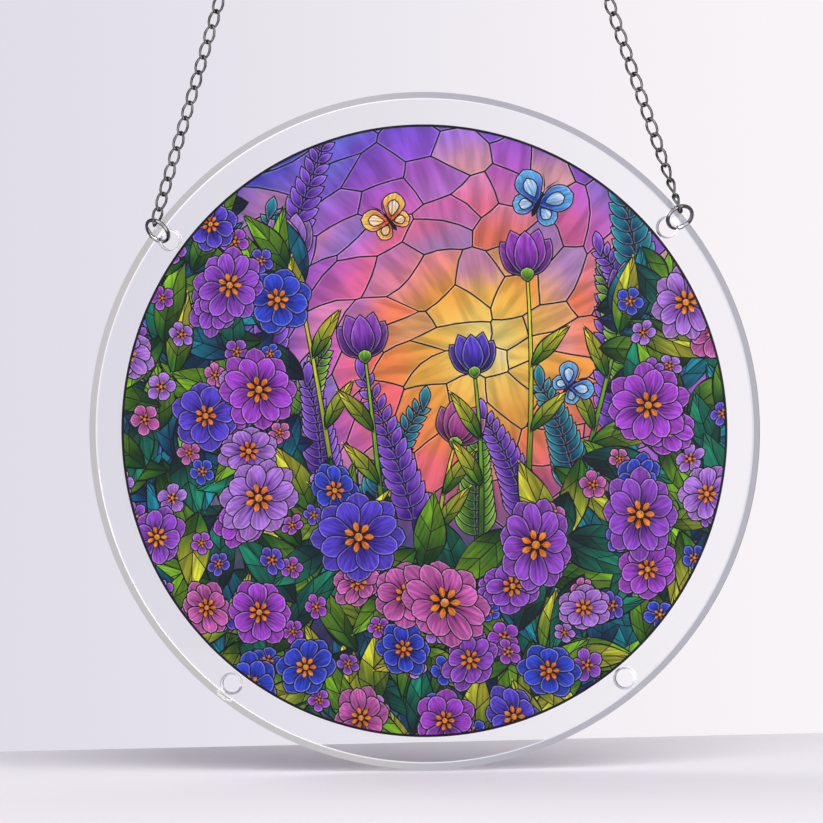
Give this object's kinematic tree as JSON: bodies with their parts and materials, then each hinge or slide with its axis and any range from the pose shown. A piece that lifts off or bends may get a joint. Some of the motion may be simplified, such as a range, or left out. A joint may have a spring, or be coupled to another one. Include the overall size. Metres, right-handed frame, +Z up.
{
  "type": "acrylic suncatcher",
  "caption": "Round clear plate with a printed stained-glass picture, hung from a steel curb chain by two jump rings.",
  "frame": {"origin": "the hanging point: the underside of the chain's top link, where a hook bears", "axes": "+Z up, -Y out of the plate's front face, +X to the right as the front is seen"},
  "size_m": [0.2, 0.0075, 0.4067],
  "materials": {
    "acrylic": "clear cast acrylic, polished faces and bevelled rim",
    "print": "translucent colour print in a stained-glass style on the back face",
    "ring_steel": "bright plated steel wire",
    "chain_steel": "dark polished steel wire"
  },
  "bodies": {
    "root": {"acrylic_plate": "acrylic", "jump_ring_left": "ring_steel", "jump_ring_right": "ring_steel", "chain_left": "chain_steel", "chain_right": "chain_steel", "chain_top_link": "chain_steel"}
  },
  "joints": []
}
